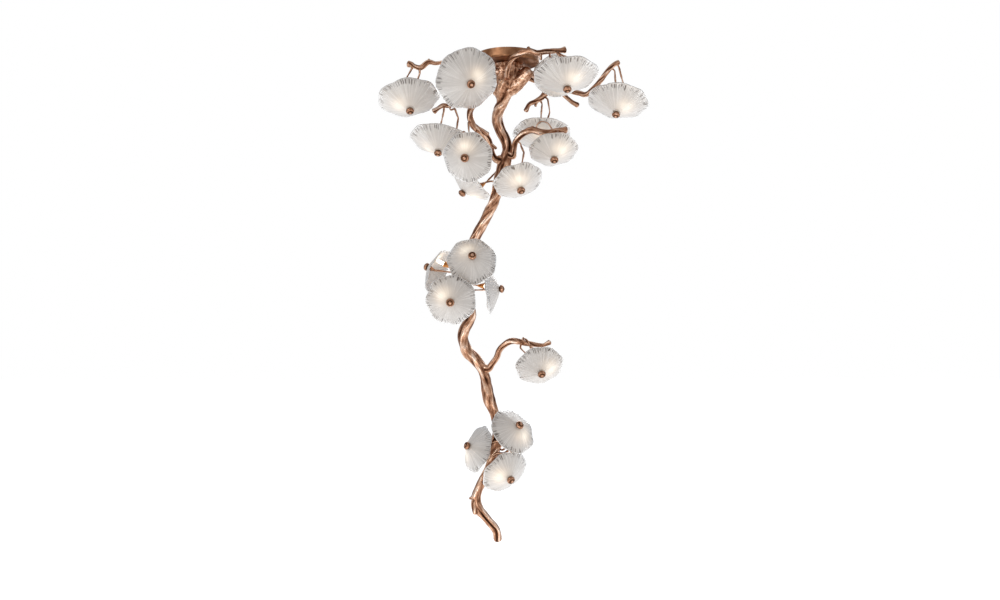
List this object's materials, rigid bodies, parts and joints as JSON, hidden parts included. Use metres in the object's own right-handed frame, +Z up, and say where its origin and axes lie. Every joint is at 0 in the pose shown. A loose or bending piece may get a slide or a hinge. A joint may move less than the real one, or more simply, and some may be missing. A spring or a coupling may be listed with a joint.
{
  "type": "branch chandelier",
  "caption": "Pendant chandelier shaped as a cast tree branch under a round canopy, with turning frosted glass leaf shades, each on a stud with a ball knob and lit by its own small lamp.",
  "frame": {"origin": "centre of the canopy's top, on the ceiling", "axes": "+Z up to the ceiling, +X to the right seen from the front, +Y away from the viewer"},
  "size_m": [0.8579, 0.5125, 1.5575],
  "materials": {
    "canopy_metal": "antique copper, satin",
    "bracket_steel": "zinc plated",
    "nipple_brass": "plain turned",
    "driver_case": "moulded",
    "terminal_plastic": "moulded",
    "cast_branch": "cast, antique copper patina",
    "leaf_glass": "cast and frosted",
    "knob_bronze": "antique bronze",
    "washer_bronze": "dark bronze",
    "cup_bronze": "antique bronze",
    "holder_ceramic": "glazed",
    "bulb_glass": "frosted, warm light"
  },
  "bodies": {
    "branch_frame": {"canopy": "canopy_metal", "ceiling_bracket": "bracket_steel", "hanging_nipple": "nipple_brass", "nipple_nuts": "nipple_brass", "led_driver": "driver_case", "terminal_block": "terminal_plastic", "trunk_upper": "cast_branch", "trunk_middle": "cast_branch", "trunk_lower": "cast_branch", "branch_top_left": "cast_branch", "branch_left": "cast_branch", "branch_lower_left": "cast_branch", "branch_top_right": "cast_branch", "branch_right": "cast_branch", "branch_back": "cast_branch", "branch_right_lower": "cast_branch", "branch_lone": "cast_branch", "twigs_01": "cast_branch", "twigs_02": "cast_branch", "twigs_03": "cast_branch", "twigs_04": "cast_branch", "twigs_05": "cast_branch", "twigs_06": "cast_branch", "twigs_07": "cast_branch", "twigs_08": "cast_branch", "twigs_09": "cast_branch", "twigs_10": "cast_branch", "twigs_11": "cast_branch", "twigs_12": "cast_branch", "twigs_13": "cast_branch", "twigs_14": "cast_branch", "twigs_15": "cast_branch", "twigs_16": "cast_branch", "twigs_17": "cast_branch", "twigs_18": "cast_branch", "twigs_19": "cast_branch", "leaf_knobs": "knob_bronze", "leaf_washers": "washer_bronze", "lamp_cups": "cup_bronze", "lamp_holders": "holder_ceramic", "bulbs": "bulb_glass"},
    "shade_01": {"leaf_01": "leaf_glass"},
    "shade_02": {"leaf_02": "leaf_glass"},
    "shade_03": {"leaf_03": "leaf_glass"},
    "shade_04": {"leaf_04": "leaf_glass"},
    "shade_05": {"leaf_05": "leaf_glass"},
    "shade_06": {"leaf_06": "leaf_glass"},
    "shade_07": {"leaf_07": "leaf_glass"},
    "shade_08": {"leaf_08": "leaf_glass"},
    "shade_09": {"leaf_09": "leaf_glass"},
    "shade_10": {"leaf_10": "leaf_glass"},
    "shade_11": {"leaf_11": "leaf_glass"},
    "shade_12": {"leaf_12": "leaf_glass"},
    "shade_13": {"leaf_13": "leaf_glass"},
    "shade_14": {"leaf_14": "leaf_glass"},
    "shade_15": {"leaf_15": "leaf_glass"},
    "shade_16": {"leaf_16": "leaf_glass"},
    "shade_17": {"leaf_17": "leaf_glass"},
    "shade_18": {"leaf_18": "leaf_glass"},
    "shade_19": {"leaf_19": "leaf_glass"}
  },
  "joints": [
    {"name": "turn_leaf_01", "type": "hinge", "parent": "branch_frame", "child": "shade_01", "pos_m": [-0.30851, -0.05688, -0.18406], "axis": [0.1306, -0.4019, -0.9063], "continuous": true},
    {"name": "turn_leaf_02", "type": "hinge", "parent": "branch_frame", "child": "shade_02", "pos_m": [-0.11528, -0.15404, -0.12663], "axis": [0.2791, -0.8105, -0.515], "continuous": true},
    {"name": "turn_leaf_03", "type": "hinge", "parent": "branch_frame", "child": "shade_03", "pos_m": [0.17414, -0.20351, -0.14971], "axis": [0.0509, -0.3216, -0.9455], "continuous": true},
    {"name": "turn_leaf_04", "type": "hinge", "parent": "branch_frame", "child": "shade_04", "pos_m": [0.15497, -0.02825, -0.09233], "axis": [-0.0616, -0.7044, -0.7071], "continuous": true},
    {"name": "turn_leaf_05", "type": "hinge", "parent": "branch_frame", "child": "shade_05", "pos_m": [0.34206, -0.03487, -0.19066], "axis": [-0.1651, -0.3541, -0.9205], "continuous": true},
    {"name": "turn_leaf_06", "type": "hinge", "parent": "branch_frame", "child": "shade_06", "pos_m": [-0.22486, 0.02504, -0.30294], "axis": [-0.1158, -0.3563, -0.9272], "continuous": true},
    {"name": "turn_leaf_07", "type": "hinge", "parent": "branch_frame", "child": "shade_07", "pos_m": [-0.12969, -0.18145, -0.35642], "axis": [-0.2026, -0.9531, -0.225], "continuous": true},
    {"name": "turn_leaf_08", "type": "hinge", "parent": "branch_frame", "child": "shade_08", "pos_m": [-0.14329, 0.0238, -0.43328], "axis": [-0.6147, -0.1879, -0.766], "continuous": true},
    {"name": "turn_leaf_09", "type": "hinge", "parent": "branch_frame", "child": "shade_09", "pos_m": [0.1139, 0.1243, -0.26494], "axis": [-0.0261, -0.3737, -0.9272], "continuous": true},
    {"name": "turn_leaf_10", "type": "hinge", "parent": "branch_frame", "child": "shade_10", "pos_m": [0.14122, -0.10744, -0.34599], "axis": [0.037, -0.5286, -0.848], "continuous": true},
    {"name": "turn_leaf_11", "type": "hinge", "parent": "branch_frame", "child": "shade_11", "pos_m": [0.03728, -0.12897, -0.443], "axis": [0.2206, -0.5748, -0.788], "continuous": true},
    {"name": "turn_leaf_12", "type": "hinge", "parent": "branch_frame", "child": "shade_12", "pos_m": [-0.11039, -0.14077, -0.65117], "axis": [0.0489, -0.9323, 0.3584], "continuous": true},
    {"name": "turn_leaf_13", "type": "hinge", "parent": "branch_frame", "child": "shade_13", "pos_m": [-0.25489, 0.01939, -0.67911], "axis": [-0.8755, 0.2845, 0.3907], "continuous": true},
    {"name": "turn_leaf_14", "type": "hinge", "parent": "branch_frame", "child": "shade_14", "pos_m": [-0.17457, -0.18239, -0.7893], "axis": [-0.0171, -0.9815, -0.1908], "continuous": true},
    {"name": "turn_leaf_15", "type": "hinge", "parent": "branch_frame", "child": "shade_15", "pos_m": [-0.02831, 0.00656, -0.74812], "axis": [0.9907, -0.1041, 0.0872], "continuous": true},
    {"name": "turn_leaf_16", "type": "hinge", "parent": "branch_frame", "child": "shade_16", "pos_m": [0.10464, -0.04629, -1.0124], "axis": [0.1405, -0.7967, -0.5878], "continuous": true},
    {"name": "turn_leaf_17", "type": "hinge", "parent": "branch_frame", "child": "shade_17", "pos_m": [0.03184, -0.08156, -1.17555], "axis": [0.5104, -0.6533, 0.5592], "continuous": true},
    {"name": "turn_leaf_18", "type": "hinge", "parent": "branch_frame", "child": "shade_18", "pos_m": [-0.12502, -0.0006, -1.25126], "axis": [-0.8188, -0.4728, 0.3256], "continuous": true},
    {"name": "turn_leaf_19", "type": "hinge", "parent": "branch_frame", "child": "shade_19", "pos_m": [0.00487, -0.09474, -1.336], "axis": [0.4505, -0.7497, -0.4848], "continuous": true}
  ]
}
